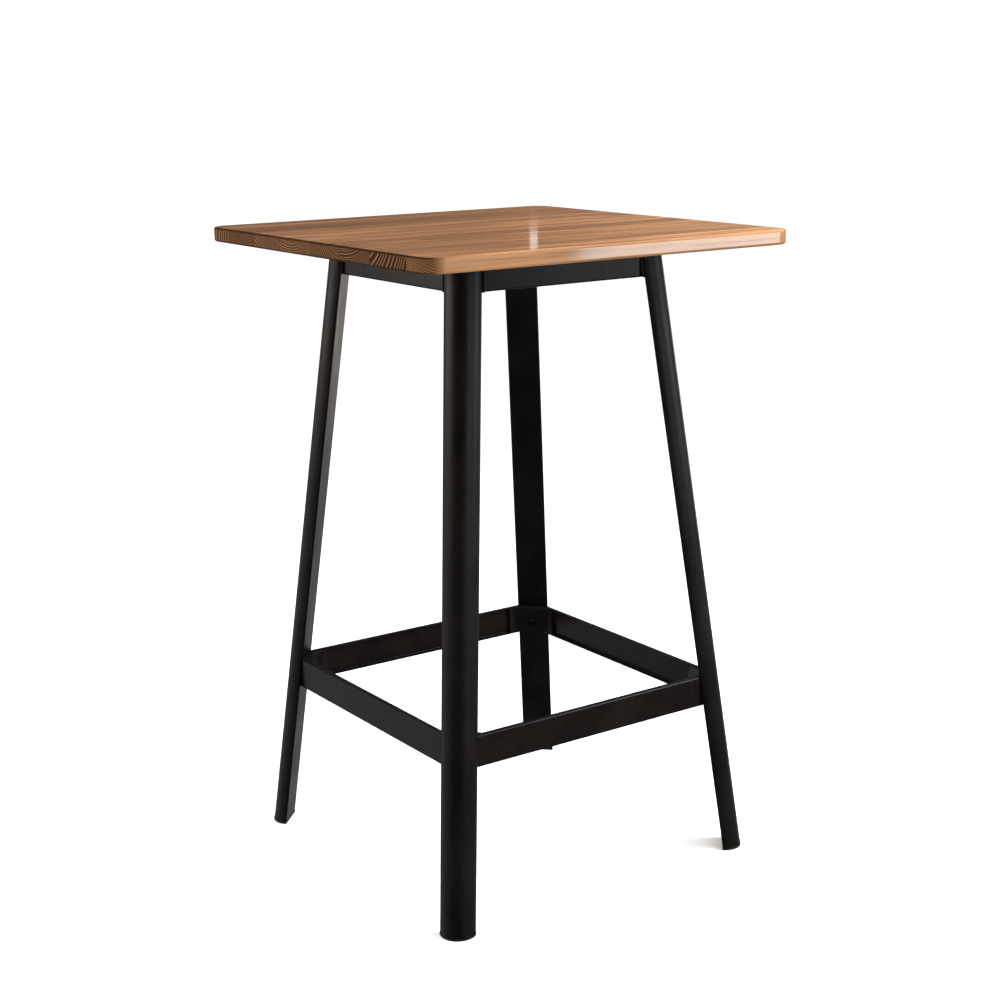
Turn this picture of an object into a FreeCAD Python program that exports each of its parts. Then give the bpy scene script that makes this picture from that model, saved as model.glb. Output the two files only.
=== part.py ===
"""Bar-height bistro table: a square wooden top on four splayed D-tube legs, held by two rail rings.

Millimetres, +Z up, origin on the floor under the middle of the tabletop. The table has four-fold
symmetry, so every frame piece is modelled once, at the rear right corner or on the rear side, and
turned about the vertical axis. One STEP file is written per piece, or per set of like fasteners.
"""
import FreeCAD, Part
import math
import os

Vector = FreeCAD.Vector

# ---- Driving dimensions -------------------------------------------------------------------------

# tabletop
TABLE_HEIGHT = 1090.0
TOP_SIDE = 700.0
TOP_THICKNESS = 24.0
TOP_CORNER_RADIUS = 32.0
TOP_EDGE_RADIUS = 4.0
STAVE_WIDTHS = (58.0, 102.0, 89.0, 90.0, 102.0, 87.0, 94.0, 78.0)  # front to rear

# legs: D-section tube, flat side towards the table's axis, measured in horizontal sections
LEG_WIDTH = 60.0
LEG_DEPTH = 30.0
LEG_WALL = 2.0
LEG_EDGE_RADIUS = 3.0
FLAT_RADIUS_UNDER_TOP = 248.0  # from the table's axis to the flat, along the diagonal
FLAT_RADIUS_AT_FLOOR = 406.0

# foot caps
CAP_BASE_HEIGHT = 4.0
CAP_PROUD = 0.6
CAP_PLUG_HEIGHT = 22.0
CAP_PLUG_WALL = 2.2
CAP_PLUG_CLEARANCE = 0.2
CAP_EDGE_RADIUS = 1.2

# rails: pressed channel, open side inwards
RAIL_DEPTH = 10.0
RAIL_SHEET = 3.0
RAIL_INNER_BEND = 1.0
APRON_HEIGHT = 52.0
APRON_HALF_SIDE = 198.5  # from the table's axis to the outer face of a rail
FOOTREST_BOTTOM = 272.0
FOOTREST_HEIGHT = 54.0
FOOTREST_HALF_SIDE = 274.5

# corner connectors: castings, hollow from below; the apron's have a collar against the leg
COLLAR_THICKNESS = 2.0
COLLAR_MARGIN = 3.5  # how far the collar stands out beside the leg
COLLAR_EDGE_RADIUS = 1.5
CONNECTOR_DEPTH = 20.0
CONNECTOR_WALL = 3.5
CONNECTOR_WING = 13.0  # how far a wing runs on past its bend
CONNECTOR_EDGE_RADIUS = 1.5
FOOTREST_CONNECTOR_DROP = 1.0
BOSS_DIAMETER = 16.0
JOINT_GAP = 0.3

# leg bolts: M8 button heads in rivet nuts
BOLT_DIAMETER = 8.0
BOLT_LENGTH = 35.0
BOLT_HOLE_DIAMETER = 9.0
BOLT_HEAD_DIAMETER = 14.0
BOLT_HEAD_HEIGHT = 4.4
BOLT_SOCKET_ACROSS_FLATS = 5.0
BOLT_SOCKET_DEPTH = 2.6
WASHER_DIAMETER = 16.0
WASHER_HOLE_DIAMETER = 8.4
WASHER_THICKNESS = 1.6
RIVET_NUT_DIAMETER = 11.0
RIVET_NUT_LENGTH = 15.0
RIVET_NUT_FLANGE_DIAMETER = 13.0
RIVET_NUT_FLANGE_THICKNESS = 0.8
RIVET_NUT_BULGE_DIAMETER = 14.0
RIVET_NUT_BULGE_LENGTH = 3.0
THREAD_CLEARANCE = 0.1  # on the diameter
COUNTERBORE_DIAMETER = 14.0
COUNTERBORE_DEPTH = 1.0

# button heads, as shares of the head's radius and height
HEAD_RIM_HEIGHT = 0.15
HEAD_CROWN_RADIUS = 0.5
HEAD_SHOULDER_RADIUS = 0.87
HEAD_SHOULDER_HEIGHT = 0.66
TIP_CHAMFER = 0.1  # share of the shank's diameter

# top screws: M5 button heads in threaded inserts
SCREW_DIAMETER = 5.0
SCREW_LENGTH = 14.0
SCREW_HOLE_DIAMETER = 5.5
SCREW_HEAD_DIAMETER = 9.5
SCREW_HEAD_HEIGHT = 2.8
SCREW_SOCKET_ACROSS_FLATS = 3.0
SCREW_SOCKET_DEPTH = 1.6
SCREW_SIDE_OFFSET = 20.0  # from the diagonal
INSERT_DIAMETER = 8.0
INSERT_LENGTH = 12.0
INSERT_HOLE_DEPTH = 13.0

# ---- Worked-out values --------------------------------------------------------------------------

UNDERSIDE = TABLE_HEIGHT - TOP_THICKNESS
APRON_BOTTOM = UNDERSIDE - APRON_HEIGHT
LEG_SPLAY = (FLAT_RADIUS_AT_FLOOR - FLAT_RADIUS_UNDER_TOP) / UNDERSIDE  # outwards per unit down

COLLAR_WIDTH = LEG_WIDTH + 2 * COLLAR_MARGIN

FAR = 2.0 * TOP_SIDE  # longer than any piece, for cutting tools
SPARE = 1.0  # how far a cutting tool runs past the face it opens
NEAR = 0.5  # how close an edge lies to the face that it is picked by
CORNERS = ("rear_right", "rear_left", "front_left", "front_right")  # a quarter turn apart
SIDES = ("rear", "left", "front", "right")
QUARTER_TURN = 90.0
HEXAGON = 6

UP = Vector(0, 0, 1)
DIAGONAL = Vector(1, 1, 0).normalize()
TANGENT = Vector(-1, 1, 0).normalize()
INWARD = -(DIAGONAL + UP * LEG_SPLAY).normalize()  # square to the flat of the rear right leg
LEG_AXIS = (UP - DIAGONAL * LEG_SPLAY).normalize()


# ---- Small tools --------------------------------------------------------------------------------

def box_between(low, high):
    """A box from its lowest to its highest corner."""
    low = Vector(*low)
    size = Vector(*high) - low
    return Part.makeBox(size.x, size.y, size.z, low)


def quarter_turned(shape, turns):
    """A copy of the shape, turned about the table's axis."""
    turned = shape.copy()
    turned.rotate(Vector(0, 0, 0), UP, QUARTER_TURN * turns)
    return turned


def flat_radius(height):
    """Distance from the table's axis to a leg's flat, along the diagonal."""
    return FLAT_RADIUS_AT_FLOOR - LEG_SPLAY * height


def flat_point(height, depth=0.0, side=0.0):
    """A point off the rear right leg's flat: depth inwards, side along the flat."""
    on_flat = DIAGONAL * flat_radius(height) + UP * height
    return on_flat + INWARD * depth + TANGENT * side


def flat_placement(height, depth=0.0):
    """A frame on the flat: X along the flat, Y down the leg, Z inwards."""
    axes = FreeCAD.Rotation(TANGENT, -LEG_AXIS, INWARD, "ZXY")
    return FreeCAD.Placement(flat_point(height, depth), axes)


def flat_slab(height, near, deep, width):
    """A slab parallel to the flat, between two depths, as wide as given and very long."""
    slab = box_between((-width / 2, -FAR, near), (width / 2, FAR, deep))
    slab.Placement = flat_placement(height)
    return slab


def flat_cylinder(height, diameter, start, end):
    """A cylinder square to the flat, between two depths."""
    return Part.makeCylinder(diameter / 2, end - start, flat_point(height, start), INWARD)


def fillet_where(shape, radius, wanted):
    """The shape with a radius on every edge that the test picks."""
    edges = [edge for edge in shape.Edges if wanted(edge)]
    return shape.makeFillet(radius, edges)


def ring(outer_diameter, inner_diameter, start, end, height):
    """A washer-like ring square to the flat."""
    outside = flat_cylinder(height, outer_diameter, start, end)
    return outside.cut(flat_cylinder(height, inner_diameter, start, end))


# ---- Tabletop -----------------------------------------------------------------------------------

def screw_points():
    """Where the top screws of the rear right corner enter the underside of the top."""
    depth = CONNECTOR_DEPTH / 2
    return [flat_point(UNDERSIDE, 0.0, side) - DIAGONAL * depth
            for side in (-SCREW_SIDE_OFFSET, SCREW_SIDE_OFFSET)]


def make_tabletop():
    """The whole top, with rounded corners and edges and the holes for the inserts."""
    half = TOP_SIDE / 2
    top = box_between((-half, -half, UNDERSIDE), (half, half, TABLE_HEIGHT))
    top = fillet_where(top, TOP_CORNER_RADIUS, lambda edge: edge.BoundBox.ZLength > TOP_THICKNESS / 2)
    top = fillet_where(top, TOP_EDGE_RADIUS, lambda edge: edge.BoundBox.ZLength < TOP_THICKNESS / 2)
    radius = INSERT_DIAMETER / 2
    holes = [Part.makeCylinder(radius, INSERT_HOLE_DEPTH, point) for point in screw_points()]
    for turns in range(len(CORNERS)):
        top = top.cut([quarter_turned(hole, turns) for hole in holes])
    return top


def make_staves():
    """The top's edge-glued staves, which run from left to right, front stave first."""
    top = make_tabletop()
    half = TOP_SIDE / 2
    staves = []
    front = -half
    for width in STAVE_WIDTHS:
        rear = front + width
        staves.append(top.common(box_between((-half, front, UNDERSIDE), (half, rear, TABLE_HEIGHT))))
        front = rear
    return staves


# ---- Legs and foot caps -------------------------------------------------------------------------

def d_face(height, inset):
    """The D section at a height, drawn in by the inset all round."""
    outer_radius = (LEG_WIDTH ** 2 / 4 + LEG_DEPTH ** 2) / (2 * LEG_DEPTH)
    centre = LEG_DEPTH - outer_radius
    radius = outer_radius - inset
    half_width = math.sqrt(radius ** 2 - (inset - centre) ** 2)
    origin = DIAGONAL * flat_radius(height) + UP * height
    start = origin + DIAGONAL * inset - TANGENT * half_width
    end = origin + DIAGONAL * inset + TANGENT * half_width
    crown = origin + DIAGONAL * (centre + radius)
    round_side = Part.Arc(start, crown, end).toShape()
    flat_side = Part.LineSegment(end, start).toShape()
    return Part.Face(Part.Wire([round_side, flat_side]))


def d_prism(bottom, top, inset, edge_radius):
    """A length of the D section that follows the leg's splay, with level ends."""
    rise = top - bottom
    prism = d_face(bottom, inset).extrude(UP * rise - DIAGONAL * LEG_SPLAY * rise)
    return fillet_where(prism, edge_radius, lambda edge: edge.BoundBox.ZLength > rise / 2)


def make_leg():
    """The tube of the rear right leg, with a rivet-nut hole at each ring."""
    outside = d_prism(CAP_BASE_HEIGHT, UNDERSIDE, 0.0, LEG_EDGE_RADIUS)
    inside = d_prism(CAP_BASE_HEIGHT, UNDERSIDE, LEG_WALL, LEG_EDGE_RADIUS - LEG_WALL)
    tube = outside.cut(inside)
    holes = [flat_cylinder(height, RIVET_NUT_DIAMETER, -2 * LEG_WALL, LEG_WALL)
             for height in RING_MIDDLES]
    return tube.cut(holes)


def make_foot_cap():
    """A plastic cap: a slightly proud sole under the tube and a hollow plug inside it."""
    sole = d_prism(0.0, CAP_BASE_HEIGHT, -CAP_PROUD, LEG_EDGE_RADIUS)
    sole = fillet_where(sole, CAP_EDGE_RADIUS, lambda edge: edge.BoundBox.ZMax < CAP_EDGE_RADIUS)
    plug_inset = LEG_WALL + CAP_PLUG_CLEARANCE
    plug_top = CAP_BASE_HEIGHT + CAP_PLUG_HEIGHT
    plug = d_prism(CAP_BASE_HEIGHT, plug_top, plug_inset, LEG_EDGE_RADIUS - LEG_WALL)
    hollow = d_prism(CAP_BASE_HEIGHT, plug_top, plug_inset + CAP_PLUG_WALL, LEG_EDGE_RADIUS - LEG_WALL)
    return sole.fuse(plug.cut(hollow)).removeSplitter()


# ---- Rails and corner connectors ----------------------------------------------------------------

class Ring:
    """One ring of four rails and four corner connectors: its level, size and collar."""

    def __init__(self, bottom, height, half_side, collar_thickness, connector_drop):
        self.bottom = bottom
        self.top = bottom + height
        self.middle = bottom + height / 2
        self.half_side = half_side
        self.collar_thickness = collar_thickness
        self.connector_top = self.top - connector_drop
        bend = (flat_radius(self.middle) - CONNECTOR_DEPTH) * math.sqrt(2) - (half_side - RAIL_DEPTH)
        self.wing_end = bend - CONNECTOR_WING


APRON = Ring(APRON_BOTTOM, APRON_HEIGHT, APRON_HALF_SIDE, COLLAR_THICKNESS, 0.0)
FOOTREST = Ring(FOOTREST_BOTTOM, FOOTREST_HEIGHT, FOOTREST_HALF_SIDE, 0.0, FOOTREST_CONNECTOR_DROP)
RING_MIDDLES = (APRON.middle, FOOTREST.middle)


def make_rail(level):
    """The rear rail: a channel, mitred at both ends against the collars or the legs' flats."""
    outer_face = level.half_side
    web_face = outer_face - RAIL_SHEET
    flange_tip = outer_face - RAIL_DEPTH
    rail = box_between((-outer_face, flange_tip, level.bottom), (outer_face, outer_face, level.top))
    hollow = box_between((-outer_face, flange_tip, level.bottom + RAIL_SHEET),
                         (outer_face, web_face, level.top - RAIL_SHEET))
    rail = rail.cut(hollow)

    def is_outer_corner(edge):
        box = edge.BoundBox
        return box.XLength > outer_face and box.YMin > web_face + NEAR

    def is_inner_corner(edge):
        box = edge.BoundBox
        inside = level.bottom + NEAR < box.ZMin < level.top - NEAR
        return box.XLength > outer_face and abs(box.YMin - web_face) < NEAR and inside

    rail = fillet_where(rail, RAIL_SHEET, is_outer_corner)
    rail = fillet_where(rail, RAIL_INNER_BEND, is_inner_corner)
    corner = flat_slab(level.middle, -FAR, level.collar_thickness + JOINT_GAP, FAR)
    for turns in (0, 1):
        rail = rail.cut(quarter_turned(corner, turns))
    return rail


def make_collar(level):
    """The plate of an apron connector between the leg's flat and the rails, its free edges rounded."""
    plate = flat_slab(level.middle, 0.0, level.collar_thickness, COLLAR_WIDTH)

    def is_free_edge(edge):
        depth = (edge.CenterOfMass - flat_point(level.middle)).dot(INWARD)
        return edge.Length > FAR and depth < NEAR

    plate = fillet_where(plate, COLLAR_EDGE_RADIUS, is_free_edge)
    return plate.common(box_between((0, 0, level.bottom), (FAR, FAR, level.top)))


def make_connector(level, screw_holes):
    """The rear right casting: a hollow block against the leg, with a wing inside each rail's channel."""
    web_face = level.half_side - RAIL_SHEET - JOINT_GAP
    wing_face = level.half_side - RAIL_DEPTH
    bottom = level.bottom + RAIL_SHEET + JOINT_GAP
    top = level.connector_top
    wing_top = level.top - RAIL_SHEET - JOINT_GAP
    end = level.wing_end

    across = flat_slab(level.middle, 0.0, CONNECTOR_DEPTH, FAR)
    behind_flat = flat_slab(level.middle, 0.0, FAR, FAR)
    body = across.common(box_between((end, end, bottom), (web_face, web_face, wing_top)))
    for wing in (box_between((wing_face, end, bottom), (web_face, web_face, wing_top)),
                 box_between((end, wing_face, bottom), (web_face, web_face, wing_top))):
        body = body.fuse(wing.common(behind_flat))
    body = body.removeSplitter()

    def is_bend(edge):
        box = edge.BoundBox
        upright = box.ZLength > (wing_top - bottom) / 2
        return upright and box.XMax < wing_face + NEAR and box.YMax < wing_face + NEAR

    body = fillet_where(body, CONNECTOR_EDGE_RADIUS, is_bend)
    body = body.fuse(across.common(box_between((end, end, bottom), (wing_face, wing_face, top))))

    pocket = box_between((0, 0, bottom - SPARE), (wing_face, wing_face, top - CONNECTOR_WALL))
    pocket = pocket.common(flat_slab(level.middle, CONNECTOR_WALL, CONNECTOR_DEPTH - CONNECTOR_WALL, FAR))
    pocket = pocket.cut(flat_cylinder(level.middle, BOSS_DIAMETER, 0.0, CONNECTOR_DEPTH))
    casting = body.cut(pocket)
    if level.collar_thickness:
        casting = casting.fuse(make_collar(level))
    casting = casting.removeSplitter()
    casting = casting.cut(flat_cylinder(level.middle, BOLT_HOLE_DIAMETER, -SPARE, CONNECTOR_DEPTH + SPARE))
    casting = casting.cut(flat_cylinder(level.middle, COUNTERBORE_DIAMETER, -SPARE, COUNTERBORE_DEPTH))
    if screw_holes:
        for point in screw_points():
            below = point - UP * (CONNECTOR_WALL + SPARE)
            hole = Part.makeCylinder(SCREW_HOLE_DIAMETER / 2, CONNECTOR_WALL + 2 * SPARE, below)
            casting = casting.cut(hole)
    return casting


# ---- Fasteners ----------------------------------------------------------------------------------

def button_screw(diameter, length, head_diameter, head_height, across_flats, socket_depth):
    """A button-head screw with a hexagon socket: head above the origin, shank below."""
    head_radius = head_diameter / 2
    rim = head_height * HEAD_RIM_HEIGHT
    crown = head_radius * HEAD_CROWN_RADIUS
    shoulder = Vector(head_radius * HEAD_SHOULDER_RADIUS, 0, head_height * HEAD_SHOULDER_HEIGHT)
    outline = [
        Part.LineSegment(Vector(0, 0, 0), Vector(head_radius, 0, 0)).toShape(),
        Part.LineSegment(Vector(head_radius, 0, 0), Vector(head_radius, 0, rim)).toShape(),
        Part.Arc(Vector(head_radius, 0, rim), shoulder, Vector(crown, 0, head_height)).toShape(),
        Part.LineSegment(Vector(crown, 0, head_height), Vector(0, 0, head_height)).toShape(),
        Part.LineSegment(Vector(0, 0, head_height), Vector(0, 0, 0)).toShape(),
    ]
    head = Part.Face(Part.Wire(outline)).revolve(Vector(0, 0, 0), UP, 4 * QUARTER_TURN)
    socket_radius = across_flats / math.sqrt(3)
    socket_floor = UP * (head_height - socket_depth)
    turns = [2 * math.pi * corner / HEXAGON for corner in range(HEXAGON + 1)]
    corners = [socket_floor + Vector(math.cos(turn), math.sin(turn), 0) * socket_radius for turn in turns]
    socket = Part.Face(Part.makePolygon(corners)).extrude(UP * (socket_depth + SPARE))
    shank = Part.makeCylinder(diameter / 2, length, Vector(0, 0, -length))
    tip = min(shank.Edges, key=lambda edge: edge.BoundBox.ZMax)
    shank = shank.makeChamfer(diameter * TIP_CHAMFER, [tip])
    return head.cut(socket).fuse(shank).removeSplitter()


def make_leg_bolt(level):
    """The rear right M8 bolt, its head on a washer at the connector's inner face."""
    bolt = button_screw(BOLT_DIAMETER, BOLT_LENGTH, BOLT_HEAD_DIAMETER, BOLT_HEAD_HEIGHT,
                        BOLT_SOCKET_ACROSS_FLATS, BOLT_SOCKET_DEPTH)
    bolt.Placement = flat_placement(level.middle, CONNECTOR_DEPTH + WASHER_THICKNESS)
    return bolt


def make_washer(level):
    """The rear right washer, between the bolt's head and the connector's inner face."""
    return ring(WASHER_DIAMETER, WASHER_HOLE_DIAMETER, CONNECTOR_DEPTH,
                CONNECTOR_DEPTH + WASHER_THICKNESS, level.middle)


def make_rivet_nut(level):
    """A rivet nut set in the leg's flat: flange outside, crimped bulge and barrel inside."""
    bulge_start = -LEG_WALL
    height = level.middle
    barrel = flat_cylinder(height, RIVET_NUT_DIAMETER, -RIVET_NUT_LENGTH, 0.0)
    flange = flat_cylinder(height, RIVET_NUT_FLANGE_DIAMETER, 0.0, RIVET_NUT_FLANGE_THICKNESS)
    bulge_end = bulge_start - RIVET_NUT_BULGE_LENGTH
    bulge = flat_cylinder(height, RIVET_NUT_BULGE_DIAMETER, bulge_end, bulge_start)
    bore = flat_cylinder(height, BOLT_DIAMETER + THREAD_CLEARANCE, -FAR, FAR)
    return barrel.fuse([flange, bulge]).cut(bore).removeSplitter()


def make_top_screws():
    """The two rear right M5 screws, driven upwards through the connector's top wall."""
    screws = []
    for point in screw_points():
        screw = button_screw(SCREW_DIAMETER, SCREW_LENGTH, SCREW_HEAD_DIAMETER, SCREW_HEAD_HEIGHT,
                             SCREW_SOCKET_ACROSS_FLATS, SCREW_SOCKET_DEPTH)
        upside_down = FreeCAD.Rotation(Vector(1, 0, 0), 2 * QUARTER_TURN)
        screw.Placement = FreeCAD.Placement(point - UP * CONNECTOR_WALL, upside_down)
        screws.append(screw)
    return screws


def make_inserts():
    """The two rear right threaded inserts in the underside of the top."""
    inserts = []
    for point in screw_points():
        sleeve = Part.makeCylinder(INSERT_DIAMETER / 2, INSERT_LENGTH, point)
        bore = Part.makeCylinder((SCREW_DIAMETER + THREAD_CLEARANCE) / 2, INSERT_LENGTH, point)
        inserts.append(sleeve.cut(bore))
    return inserts


# ---- Assembly -----------------------------------------------------------------------------------

def around(shapes):
    """One compound of the rear right corner's fasteners, repeated at all four corners."""
    copies = [quarter_turned(shape, turns) for turns in range(len(CORNERS)) for shape in shapes]
    return Part.makeCompound(copies)


def build():
    """Every piece of the table by its name."""
    pieces = {}
    for number, stave in enumerate(make_staves(), start=1):
        pieces[f"stave_{number}"] = stave
    at_corners = {
        "leg": make_leg(),
        "foot_cap": make_foot_cap(),
        "apron_connector": make_connector(APRON, screw_holes=True),
        "footrest_connector": make_connector(FOOTREST, screw_holes=False),
    }
    on_sides = {
        "apron_rail": make_rail(APRON),
        "footrest_rail": make_rail(FOOTREST),
    }
    for names, places in ((at_corners, CORNERS), (on_sides, SIDES)):
        for name, shape in names.items():
            for turns, place in enumerate(places):
                pieces[f"{name}_{place}"] = quarter_turned(shape, turns)
    for name, level in (("apron", APRON), ("footrest", FOOTREST)):
        pieces[f"{name}_bolts"] = around([make_leg_bolt(level)])
        pieces[f"{name}_washers"] = around([make_washer(level)])
        pieces[f"{name}_rivet_nuts"] = around([make_rivet_nut(level)])
    pieces["top_screws"] = around(make_top_screws())
    pieces["top_inserts"] = around(make_inserts())
    return pieces


os.makedirs("parts", exist_ok=True)
for piece_name, piece in build().items():
    piece.exportStep(f"parts/{piece_name}.step")
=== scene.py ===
"""Looks of the bistro table: a stained softwood top on a black steel frame, in a pale studio."""

import math
from collections import namedtuple

import bpy
from mathutils import Matrix, Vector


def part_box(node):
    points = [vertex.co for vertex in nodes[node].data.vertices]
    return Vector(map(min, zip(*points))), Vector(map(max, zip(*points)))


MM = 0.001

# Camera: where it stands, which way it looks (radians), and its lens and shift for a square picture.
CAMERA_PLACE = Vector((-1.6709, -2.4459, 1.3413))
CAMERA_YAW = 0.95154
CAMERA_PITCH = -0.30263
CAMERA_ROLL = -0.010376
SENSOR_WIDTH = 36.0
FOCAL_LENGTH = 62.957
SHIFT_X = -0.03265
SHIFT_Y = 0.11443
FAR_CLIP = 300.0

# Stained softwood, linear colours: the long grain of the faces and edges, and the darker end grain.
FACE_LIGHT = (0.270, 0.133, 0.059)
FACE_MID = (0.186, 0.088, 0.038)
FACE_DARK = (0.070, 0.027, 0.009)
END_LIGHT = (0.202, 0.104, 0.051)
END_MID = (0.048, 0.021, 0.009)
END_DARK = (0.018, 0.006, 0.002)
SEAM_SHADE = (0.026, 0.010, 0.004)

# One stave: where its pith lies from its own middle (mm to the rear, mm up), its ring spacing (mm), the
# pith's slope along it (rear, up), how strongly its end grain shows, the share of a ring that is pale on
# the cut end, and its tone beside its neighbours.
Stave = namedtuple("Stave", "pith ring slope end_strength pale_share tone")
STAVES = {
    "stave_1": Stave((34, -118), 2.6, (0.010, 0.012), 0.70, 0.47, 1.12),
    "stave_2": Stave((105, 87), 7.7, (-0.012, 0.010), 0.85, 0.20, 0.96),
    "stave_3": Stave((40, 110), 3.6, (0.014, -0.016), 0.90, 0.22, 1.00),
    "stave_4": Stave((-50, 40), 5.0, (-0.010, 0.020), 0.50, 0.36, 0.98),
    "stave_5": Stave((21, 110), 3.4, (0.012, 0.022), 0.95, 0.36, 1.05),
    "stave_6": Stave((88, -80), 4.8, (-0.014, -0.012), 1.00, 0.33, 0.95),
    "stave_7": Stave((-70, -140), 4.4, (0.010, 0.016), 0.35, 0.40, 0.90),
    "stave_8": Stave((260, 8), 8.6, (0.006, -0.010), 0.65, 0.34, 1.00),
}
FRONT_STAVE = "stave_1"
REAR_STAVE = "stave_8"
SEAM_WIDTH = 0.9 * MM
SEAM_CORE = 0.3  # share of the seam's width that is fully dark
SEAM_STRENGTH = 0.62

# Noises of the wood, drawn out along the grain: repeats per metre (along, across, up), detail, roughness.
RING_NOISE = ((2.2, 14.0, 14.0), 2.0, 0.5)
FIBRE_NOISE = ((9.0, 520.0, 520.0), 3.0, 0.65)
THREAD_NOISE = ((3.2, 120.0, 120.0), 4.0, 0.66)
BAND_NOISE = ((1.5, 64.0, 64.0), 3.0, 0.60)
CLOUD_NOISE = ((2.4, 11.0, 11.0), 2.0, 0.5)
PORE_NOISE = (900.0, 2.0, 0.6)  # the same every way
NOISE_MIDDLE = 0.5

# Each stave reads the noises at its own shift, its number times these, so that no two look alike.
OWN_SHIFT = (3.7, 1.9, 2.3)
PACE_SHIFT = 4.1
YEAR_SHIFT = 2.3

RING_WANDER = 5.0 * MM
PACE_SCALE = 0.37  # per ring: how soon wide years give way to narrow ones
PACE_SWING = 1.6  # in rings
YEAR_SCALE = 1.7

# Ways of turning one value into another: from low to high, it goes from the third number to the fourth.
STREAK_RISE = (0.30, 0.88, 0.0, 1.0)
STREAK_FALL = (0.93, 1.0, 1.0, 0.0)
YEAR_STRENGTH = (0.35, 0.65, 0.15, 0.80)
FACE_CLOUDS = (0.30, 0.70, 0.0, 1.0)
BAND_SHARE = (0.46, 0.58, 0.0, 0.58)
THREAD_SHARE = (0.48, 0.66, 0.0, 0.72)
FIBRE_SHARE = (0.50, 0.72, 0.0, 0.45)
PALE_RISE = (0.0, 0.10, 0.0, 1.0)
PALE_FADE = 0.20  # share of a ring in which its pale line fades out
END_CLOUDS = (0.30, 0.60, 0.60, 1.0)
PORE_SHARE = (0.45, 0.70, 0.0, 0.30)

# The same, by how far the surface is turned to the front or rear (edge) or to a cut end. The long edges
# face the low lights, so painted shade darkens their colour to offset it, and their grain is calmer.
EDGE_PAINTED_SHADE = (0.30, 0.90, 1.0, 0.72)
EDGE_BANDS = (0.30, 0.90, 1.0, 0.20)
EDGE_THREADS = (0.30, 0.90, 1.0, 0.65)
CUT_END = (0.15, 0.70, 0.0, 1.0)
ROUNDED_END = (0.08, 0.40, 0.0, 0.85)

# Sheen and relief of the wood. The lacquer is thicker on the long edges and thins out where the wood
# rounds over.
GRAIN_MIX = 0.6
GRAIN_ROUGHNESS = (0.2, 1.1, 0.56, 0.42)
END_ROUGHER = 0.18
GRAIN_DEPTH = 0.10 * MM
WOOD_SPECULAR = 0.02
LACQUER = (0.90, 0.995, 0.33, 0.80)
LACQUER_FLAT = (0.994, 0.9999, 0.0, 1.0)
LACQUER_ROUGHNESS = 0.08

# Black finishes: linear colour, roughness, size and height of the pebbles in the skin, specular level.
Coat = namedtuple("Coat", "colour roughness grain depth specular")
COATS = {
    "powder_coat": Coat((0.0026, 0.0020, 0.0016), 0.38, 1.1 * MM, 0.035 * MM, 0.065),
    "rail_powder_coat": Coat((0.0030, 0.0022, 0.0018), 0.25, 1.1 * MM, 0.035 * MM, 0.05),
    "casting_coat": Coat((0.0028, 0.0022, 0.0018), 0.50, 1.8 * MM, 0.07 * MM, 0.07),
    "moulded_plastic": Coat((0.0040, 0.0040, 0.0040), 0.52, 0.8 * MM, 0.03 * MM, 0.20),
}
COAT_TONES = (0.75, 1.45, 2.4)  # the colour's strength where it is dim, lit and rubbed
SKIN_NOISE = (2.0, 0.55)  # detail and roughness
COAT_CLOUD_NOISE = (11.0, 3.0, 0.55)  # repeats per metre, detail and roughness
COAT_CLOUDS = (0.30, 0.70, 0.0, 1.0)
RUB_NOISE = ((70.0, 70.0, 14.0), 3.0, 0.6)  # drawn out upwards
RUB_SHARE = (0.60, 0.78, 0.0, 0.35)
RUB_IN_WEAR = 0.6
WEAR_RANGE = (0.5, 1.1)
COAT_SMOOTHER = 0.05
COAT_ROUGHER = 0.08

# Hardware steels: linear colour, roughness, and repeats of the turning marks per metre.
Steel = namedtuple("Steel", "colour roughness marks")
STEELS = {
    "blackened_steel": Steel((0.012, 0.011, 0.010), 0.42, 900.0),
    "zinc_plate": Steel((0.56, 0.57, 0.55), 0.36, 1200.0),
}
MOTTLE_NOISE = (160.0, 2.0)  # repeats per metre and detail
MOTTLES = (0.35, 0.70, 0.0, 1.0)
MOTTLE_TONE = 0.6
MARK_NOISE = (3.0, 0.6)  # detail and roughness
MARK_RANGE = (0.3, 0.7)
MARK_DEPTH = 0.03 * MM
STEEL_SMOOTHER = 0.08
STEEL_ROUGHER = 0.10

# Which finish a piece of the frame has, by the start of its name.
FINISHES = {
    "leg_": "powder_coat",
    "foot_cap_": "moulded_plastic",
    "apron_connector_": "casting_coat",
    "footrest_connector_": "casting_coat",
    "apron_rail_": "rail_powder_coat",
    "footrest_rail_": "rail_powder_coat",
    "apron_bolts": "blackened_steel",
    "footrest_bolts": "blackened_steel",
    "apron_washers": "blackened_steel",
    "footrest_washers": "blackened_steel",
    "apron_rivet_nuts": "zinc_plate",
    "footrest_rivet_nuts": "zinc_plate",
    "top_screws": "blackened_steel",
    "top_inserts": "zinc_plate",
}

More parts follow.
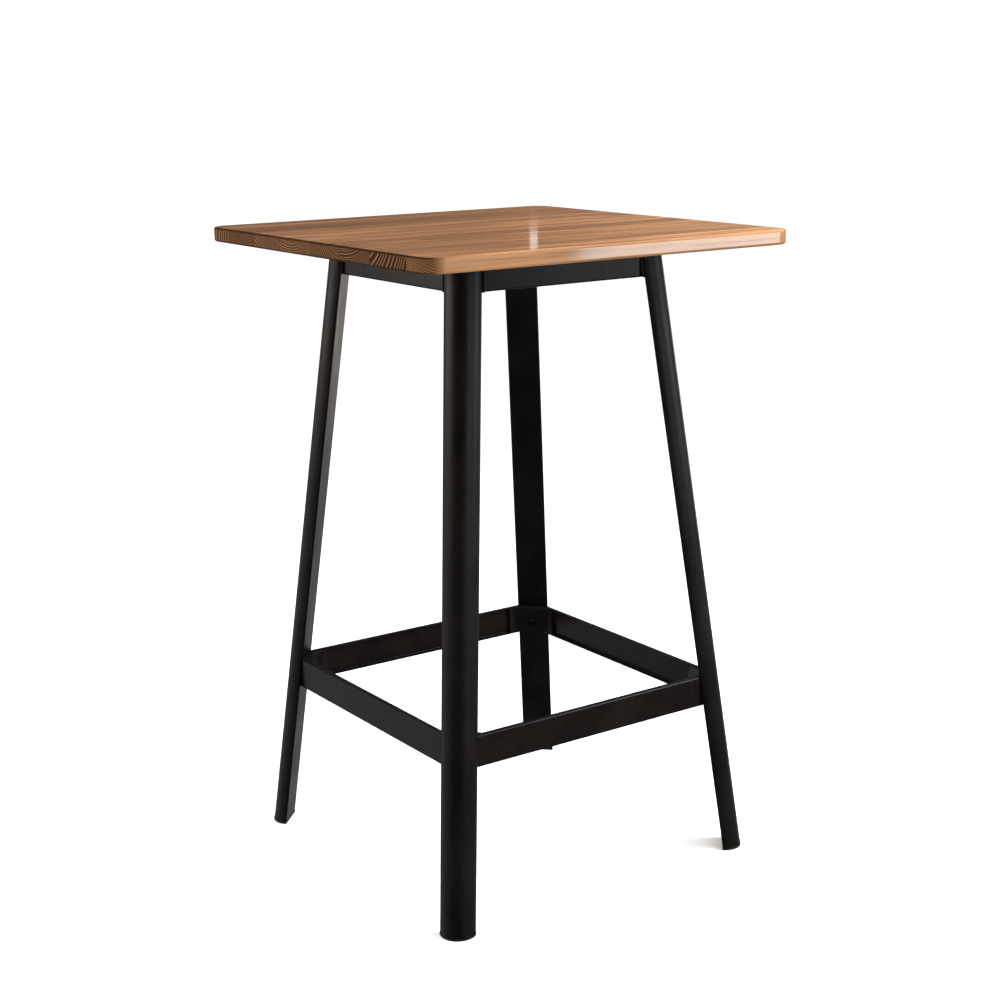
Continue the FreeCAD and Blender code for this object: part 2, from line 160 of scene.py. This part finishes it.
# Area lights, in metres: place, target, size (across, up), radiance in W/m2 per steradian, and colour.
Light = namedtuple("Light", "place towards size radiance colour")
LIGHTS = {
    # nearly overhead
    "key": Light((0.46, -0.42, 1.86), (0.05, 0.0, 1.09), (0.7, 0.7), 12.5, (1.0, 0.98, 0.95)),
    # strong and high on the right, aimed at the footrest's bends
    "glint": Light((1.30, -1.0, 1.75), (0.2, -0.3, 0.4), (0.5, 0.5), 62.0, (0.90, 0.95, 1.0)),
    # cool, in front at the top's height, mirrored in the legs and the front edge
    "window": Light((2.15, -1.95, 1.25), (0.1, -0.2, 0.9), (1.7, 1.3), 9.0, (0.84, 0.95, 1.0)),
    "strip": Light((0.20, -2.90, 1.10), (-0.25, -0.3, 0.9), (1.1, 1.2), 8.0, (0.90, 0.96, 1.0)),
    # warm, from the rear: weak on the right and broad on the left
    "back": Light((2.45, 1.15, 0.65), (0.0, 0.0, 0.7), (1.3, 1.1), 3.0, (1.0, 0.88, 0.76)),
    "fill": Light((-1.90, 1.00, 1.20), (-0.3, 0.0, 0.8), (1.9, 0.9), 7.5, (1.0, 0.90, 0.81)),
    # tiny, with its image on the top
    "lamp": Light((1.66, 2.2, 1.37), (-0.08, -0.225, 1.09), (0.025, 0.035), 4.8, (1.0, 0.99, 0.97)),
}
SUN_FROM = (0.58, -0.45, 0.68)
SUN_STRENGTH = 1.3
SUN_ANGLE = math.radians(35)

# The sky: a dim haze, and glows that rise where the cosine of the angle from their middle goes from low
# to high. The last one stands in for the floor, which the table doesn't mirror.
Glow = namedtuple("Glow", "middle low high strength")
RIGHT_AZIMUTH = math.radians(300)
LEFT_AZIMUTH = math.radians(142)
SKY_HAZE = 0.10
SKY_GLOWS = (
    Glow((0.0, 0.0, 1.0), 0.30, 0.70, 1.0),
    Glow((math.cos(RIGHT_AZIMUTH), math.sin(RIGHT_AZIMUTH), 0.0), 0.60, 1.00, 0.60),
    Glow((math.cos(LEFT_AZIMUTH), math.sin(LEFT_AZIMUTH), 0.0), 0.45, 1.00, 1.10),
    Glow((0.82, 0.46, -0.34), 0.80, 0.98, 0.75),
)
WHITE = (1.0, 1.0, 1.0, 1.0)

FLOOR_HALF = 120.0
FLOOR_COLOUR = (0.90, 0.90, 0.90, 1.0)
FLOOR_ROUGHNESS = 0.9


class Nodes:
    """A node tree, with short ways to add to it."""

    def __init__(self, tree):
        self.tree = tree
        tree.nodes.clear()

    def add(self, kind, **settings):
        node = self.tree.nodes.new(kind)
        for name, value in settings.items():
            setattr(node, name, value)
        return node

    def feed(self, socket, value):
        """Joins an output to the socket, or sets the socket to a plain value."""
        if isinstance(value, bpy.types.NodeSocket):
            self.tree.links.new(value, socket)
        else:
            socket.default_value = value

    def math(self, operation, *values):
        node = self.add("ShaderNodeMath", operation=operation)
        for socket, value in zip(node.inputs, values):
            self.feed(socket, value)
        return node.outputs[0]

    def vector(self, operation, first, second=(0, 0, 0)):
        node = self.add("ShaderNodeVectorMath", operation=operation)
        self.feed(node.inputs[0], first)
        self.feed(node.inputs[1], second)
        return node.outputs["Value" if operation in ("LENGTH", "DOT_PRODUCT") else "Vector"]

    def split(self, vector):
        node = self.add("ShaderNodeSeparateXYZ")
        self.feed(node.inputs[0], vector)
        return node.outputs

    def combine(self, *parts):
        node = self.add("ShaderNodeCombineXYZ")
        for socket, value in zip(node.inputs, parts):
            self.feed(socket, value)
        return node.outputs[0]

    def between(self, value, low, high, out_low, out_high):
        """The value's way from low to high, eased, on a new scale and held at its ends."""
        node = self.add("ShaderNodeMapRange", interpolation_type="SMOOTHSTEP")
        for socket, number in zip(node.inputs, (value, low, high, out_low, out_high)):
            self.feed(socket, number)
        return node.outputs[0]


class Shading(Nodes):
    """One material's nodes, ending in a Principled shader."""

    def __init__(self, name):
        self.material = bpy.data.materials.new(name)
        self.material.use_nodes = True
        super().__init__(self.material.node_tree)
        self.shader = self.add("ShaderNodeBsdfPrincipled")
        output = self.add("ShaderNodeOutputMaterial")
        self.feed(output.inputs["Surface"], self.shader.outputs["BSDF"])
        coordinates = self.add("ShaderNodeTexCoord")
        self.place = coordinates.outputs["Object"]
        self.normal = coordinates.outputs["Normal"]

    def set(self, name, value):
        self.feed(self.shader.inputs[name], value)

    def noise(self, place, scale, detail, roughness=0.5):
        node = self.add("ShaderNodeTexNoise")
        self.feed(node.inputs["Vector"], place)
        for name, value in (("Scale", scale), ("Detail", detail), ("Roughness", roughness)):
            self.feed(node.inputs[name], value)
        return node.outputs["Fac"]

    def drawn_noise(self, place, repeats, detail, roughness):
        """A noise that is finer one way than another."""
        return self.noise(self.vector("MULTIPLY", place, repeats), 1.0, detail, roughness)

    def blend(self, share, first, second, mode="MIX"):
        node = self.add("ShaderNodeMix", data_type="RGBA", blend_type=mode)
        self.feed(node.inputs["Factor"], share)
        for socket, colour in ((node.inputs[6], first), (node.inputs[7], second)):
            self.feed(socket, (*colour, 1.0) if isinstance(colour, tuple) else colour)
        return node.outputs[2]

    def bump(self, height, distance):
        node = self.add("ShaderNodeBump")
        self.feed(node.inputs["Height"], height)
        self.feed(node.inputs["Distance"], distance)
        return node.outputs[0]


class Wood(Shading):
    """A stave cut from a log: growth rings around its pith, fibres along it, and dark end grain."""

    def __init__(self, name, number):
        super().__init__("wood_" + name)
        self.name = name
        self.number = number
        self.stave = STAVES[name]
        self.low, self.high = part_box(name)
        self.x, self.y, self.z = self.split(self.place)
        self.own = self.vector("ADD", self.place, tuple(step * number for step in OWN_SHIFT))
        turned = self.split(self.normal)
        self.end_on, self.edge_on, self.level = (self.math("ABSOLUTE", part) for part in turned)
        self.fibre = self.drawn_noise(self.own, *FIBRE_NOISE)
        self.cloud = self.drawn_noise(self.own, *CLOUD_NOISE)
        rings = self.rings()
        self.growth = self.math("FRACT", rings)
        year_place = self.combine(self.math("FLOOR", rings), YEAR_SHIFT * number, 0.0)
        self.year = self.noise(year_place, YEAR_SCALE, 0.0)
        rise = self.between(self.growth, *STREAK_RISE)
        self.streak = self.math("MULTIPLY", rise, self.between(self.growth, *STREAK_FALL))
        self.set_colour()
        self.set_sheen()

    def from_pith(self, part, centre, lean):
        """One part of the way from the pith, which leans along the stave."""
        away = self.math("SUBTRACT", part, centre)
        return self.math("SUBTRACT", away, self.math("MULTIPLY", self.x, lean))

    def rings(self):
        """Distance from the pith, in rings, wandering a little, some years wider than others."""
        middle = (self.low + self.high) / 2
        pith, slope = self.stave.pith, self.stave.slope
        rearward = self.from_pith(self.y, middle.y + pith[0] * MM, slope[0])
        upward = self.from_pith(self.z, middle.z + pith[1] * MM, slope[1])
        radius = self.vector("LENGTH", self.combine(0.0, rearward, upward))
        wander = self.math("SUBTRACT", self.drawn_noise(self.own, *RING_NOISE), NOISE_MIDDLE)
        wandered = self.math("MULTIPLY_ADD", wander, RING_WANDER, radius)
        rings = self.math("DIVIDE", wandered, self.stave.ring * MM)
        pace_place = self.combine(rings, PACE_SHIFT * self.number, 0.0)
        pace = self.math("SUBTRACT", self.noise(pace_place, PACE_SCALE, 0.0), NOISE_MIDDLE)
        return self.math("MULTIPLY_ADD", pace, PACE_SWING, rings)

    def face_colour(self):
        """Along the grain: faint streaks of the rings, among dark bands, threads and fibres."""
        calm = self.between(self.edge_on, *EDGE_BANDS)
        bands = self.between(self.drawn_noise(self.own, *BAND_NOISE), *BAND_SHARE)
        streaks = self.math("MULTIPLY", self.streak, self.between(self.year, *YEAR_STRENGTH))
        threads = self.between(self.drawn_noise(self.own, *THREAD_NOISE), *THREAD_SHARE)
        colour = self.blend(self.between(self.cloud, *FACE_CLOUDS), FACE_LIGHT, FACE_MID)
        for dark_share in (
            self.math("MULTIPLY", bands, calm),
            self.math("MULTIPLY", streaks, calm),
            self.math("MULTIPLY", threads, self.between(self.edge_on, *EDGE_THREADS)),
            self.between(self.fibre, *FIBRE_SHARE),
        ):
            colour = self.blend(dark_share, colour, FACE_DARK)
        # painted shade: the long edges' colour is darkened to offset the low lights they face
        tone = self.between(self.edge_on, *EDGE_PAINTED_SHADE)
        return self.blend(1.0, colour, self.combine(tone, tone, tone), "MULTIPLY")

    def end_colour(self):
        """On the cut ends: each ring a thin pale line and a dark gap, with pores."""
        pale_to = self.stave.pale_share
        fade = self.between(self.growth, pale_to, pale_to + PALE_FADE, 1.0, 0.0)
        pale = self.math("MULTIPLY", self.between(self.growth, *PALE_RISE), fade)
        colour = self.blend(pale, END_DARK, END_LIGHT)
        share = self.math("MULTIPLY", self.between(self.cloud, *END_CLOUDS), self.stave.end_strength)
        colour = self.blend(share, END_MID, colour)
        return self.blend(self.between(self.noise(self.own, *PORE_NOISE), *PORE_SHARE), colour, END_DARK)

    def seams(self):
        """The way to each neighbouring stave."""
        found = []
        if self.name != FRONT_STAVE:
            found.append(self.math("SUBTRACT", self.y, self.low.y))
        if self.name != REAR_STAVE:
            found.append(self.math("SUBTRACT", self.high.y, self.y))
        return found

    def set_colour(self):
        """The ends drink more stain than the faces, most of all where they are rounded over."""
        colour = self.blend(self.between(self.end_on, *CUT_END), self.face_colour(), self.end_colour())
        rounded = self.math("MULTIPLY", self.end_on, self.level)
        colour = self.blend(self.between(rounded, *ROUNDED_END), colour, END_DARK)
        for seam in self.seams():
            glue = self.between(seam, SEAM_WIDTH * SEAM_CORE, SEAM_WIDTH, SEAM_STRENGTH, 0.0)
            colour = self.blend(glue, colour, SEAM_SHADE)
        self.set("Base Color", self.blend(1.0, colour, (self.stave.tone,) * 3, "MULTIPLY"))

    def set_sheen(self):
        grain = self.math("MULTIPLY_ADD", self.fibre, GRAIN_MIX, self.streak)
        roughness = self.between(grain, *GRAIN_ROUGHNESS)
        self.set("Roughness", self.math("MULTIPLY_ADD", self.end_on, END_ROUGHER, roughness))
        relief = self.math("MULTIPLY_ADD", self.streak, GRAIN_MIX, self.fibre)
        self.set("Normal", self.bump(relief, GRAIN_DEPTH))
        self.set("Specular IOR Level", WOOD_SPECULAR)
        flat_on = self.math("MAXIMUM", self.edge_on, self.level)
        lacquer = self.between(self.edge_on, *LACQUER)
        self.set("Coat Weight", self.math("MULTIPLY", self.between(flat_on, *LACQUER_FLAT), lacquer))
        self.set("Coat Roughness", LACQUER_ROUGHNESS)


def coating(name, coat):
    """A black finish: a slightly uneven tone and sheen over the pebbled skin of powder or casting."""
    s = Shading(name)
    skin = s.noise(s.place, 1 / coat.grain, *SKIN_NOISE)
    cloud = s.noise(s.place, *COAT_CLOUD_NOISE)
    rub = s.drawn_noise(s.place, *RUB_NOISE)
    dim, lit, rubbed = (tuple(tone * part for part in coat.colour) for tone in COAT_TONES)
    shade = s.blend(s.between(cloud, *COAT_CLOUDS), dim, lit)
    s.set("Base Color", s.blend(s.between(rub, *RUB_SHARE), shade, rubbed))
    wear = s.math("MULTIPLY_ADD", rub, RUB_IN_WEAR, cloud)
    smooth, rough = coat.roughness - COAT_SMOOTHER, coat.roughness + COAT_ROUGHER
    s.set("Roughness", s.between(wear, *WEAR_RANGE, smooth, rough))
    s.set("Normal", s.bump(skin, coat.depth))
    s.set("Specular IOR Level", coat.specular)
    return s.material


def metal(name, steel):
    """Bare or blackened hardware steel with fine turning marks and a mottled tone."""
    s = Shading(name)
    marks = s.noise(s.place, steel.marks, *MARK_NOISE)
    mottle = s.noise(s.place, *MOTTLE_NOISE)
    dark = tuple(MOTTLE_TONE * part for part in steel.colour)
    s.set("Base Color", s.blend(s.between(mottle, *MOTTLES), steel.colour, dark))
    s.set("Metallic", 1.0)
    smooth, rough = steel.roughness - STEEL_SMOOTHER, steel.roughness + STEEL_ROUGHER
    s.set("Roughness", s.between(marks, *MARK_RANGE, smooth, rough))
    s.set("Normal", s.bump(marks, MARK_DEPTH))
    return s.material


def dress(node, material):
    for slot in node.material_slots:
        slot.material = material


def hang(name, data, place, towards):
    """Puts a light at a place, facing a target."""
    holder = bpy.data.objects.new(name, data)
    bpy.context.scene.collection.objects.link(holder)
    holder.location = place
    holder.rotation_euler = (Vector(towards) - Vector(place)).to_track_quat("-Z", "Y").to_euler()
    holder.visible_camera = False


def area_light(name, light):
    """A soft rectangular light, as bright as given all over its face."""
    across, up = light.size
    lamp = bpy.data.lights.new(name, "AREA")
    lamp.shape = "RECTANGLE"
    lamp.size = across
    lamp.size_y = up
    lamp.energy = light.radiance * math.pi * across * up
    lamp.color = light.colour
    hang(name, lamp, light.place, light.towards)


def make_sun():
    """A weak sun, wide enough to cast only soft shadows."""
    sun = bpy.data.lights.new("sun", "SUN")
    sun.energy = SUN_STRENGTH
    sun.angle = SUN_ANGLE
    hang("sun", sun, SUN_FROM, (0.0, 0.0, 0.0))


def make_floor():
    """A pale floor that stays out of the reflections, so that the black legs stay black downwards."""
    mesh = bpy.data.meshes.new("floor")
    corners = [(x * FLOOR_HALF, y * FLOOR_HALF, 0.0) for x, y in ((-1, -1), (1, -1), (1, 1), (-1, 1))]
    mesh.from_pydata(corners, [], [range(len(corners))])
    floor = bpy.data.objects.new("floor", mesh)
    bpy.context.scene.collection.objects.link(floor)
    paint = Shading("pale_floor")
    paint.set("Base Color", FLOOR_COLOUR)
    paint.set("Roughness", FLOOR_ROUGHNESS)
    mesh.materials.append(paint.material)
    floor.visible_glossy = False


def make_sky():
    """Haze and glows that light the table, and a plain white backdrop for the camera."""
    world = bpy.data.worlds.new("studio")
    bpy.context.scene.world = world
    world.use_nodes = True
    sky = Nodes(world.node_tree)
    way = sky.add("ShaderNodeTexCoord").outputs["Generated"]
    total = SKY_HAZE
    for glow in SKY_GLOWS:
        cosine = sky.vector("DOT_PRODUCT", way, glow.middle)
        total = sky.math("ADD", sky.between(cosine, glow.low, glow.high, 0.0, glow.strength), total)
    light = sky.add("ShaderNodeBackground")
    sky.feed(light.inputs["Color"], WHITE)
    sky.feed(light.inputs["Strength"], total)
    backdrop = sky.add("ShaderNodeBackground")
    sky.feed(backdrop.inputs["Color"], WHITE)
    choice = sky.add("ShaderNodeMixShader")
    sky.feed(choice.inputs[0], sky.add("ShaderNodeLightPath").outputs["Is Camera Ray"])
    sky.feed(choice.inputs[1], light.outputs[0])
    sky.feed(choice.inputs[2], backdrop.outputs[0])
    output = sky.add("ShaderNodeOutputWorld")
    sky.feed(output.inputs["Surface"], choice.outputs[0])


def make_camera():
    ahead = Vector((
        math.cos(CAMERA_PITCH) * math.cos(CAMERA_YAW),
        math.cos(CAMERA_PITCH) * math.sin(CAMERA_YAW),
        math.sin(CAMERA_PITCH),
    ))
    level_right = Vector((math.sin(CAMERA_YAW), -math.cos(CAMERA_YAW), 0.0))
    level_up = level_right.cross(ahead)
    right = math.cos(CAMERA_ROLL) * level_right + math.sin(CAMERA_ROLL) * level_up
    up = right.cross(ahead)
    lens = bpy.data.cameras.new("camera")
    lens.sensor_width = SENSOR_WIDTH
    lens.lens = FOCAL_LENGTH
    lens.shift_x = SHIFT_X
    lens.shift_y = SHIFT_Y
    lens.clip_end = FAR_CLIP
    camera = bpy.data.objects.new("camera", lens)
    bpy.context.scene.collection.objects.link(camera)
    turn = Matrix((right, up, -ahead)).transposed()
    camera.matrix_world = Matrix.Translation(CAMERA_PLACE) @ turn.to_4x4()
    bpy.context.scene.camera = camera


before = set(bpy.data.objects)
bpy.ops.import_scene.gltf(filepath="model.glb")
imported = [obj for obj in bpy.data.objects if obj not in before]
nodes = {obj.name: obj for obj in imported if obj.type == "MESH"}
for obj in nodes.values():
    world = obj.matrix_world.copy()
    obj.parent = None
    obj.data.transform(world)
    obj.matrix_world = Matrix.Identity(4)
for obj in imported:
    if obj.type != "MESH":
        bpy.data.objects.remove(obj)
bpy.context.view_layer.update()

for number, stave in enumerate(sorted(STAVES), start=1):
    dress(nodes[stave], Wood(stave, number).material)

materials = {name: coating(name, coat) for name, coat in COATS.items()}
materials.update({name: metal(name, steel) for name, steel in STEELS.items()})
for name, node in nodes.items():
    for start, finish in FINISHES.items():
        if name.startswith(start):
            dress(node, materials[finish])

make_floor()
make_sky()
make_sun()
for name, light in LIGHTS.items():
    area_light(name, light)

bpy.context.scene.view_settings.view_transform = "Standard"
make_camera()
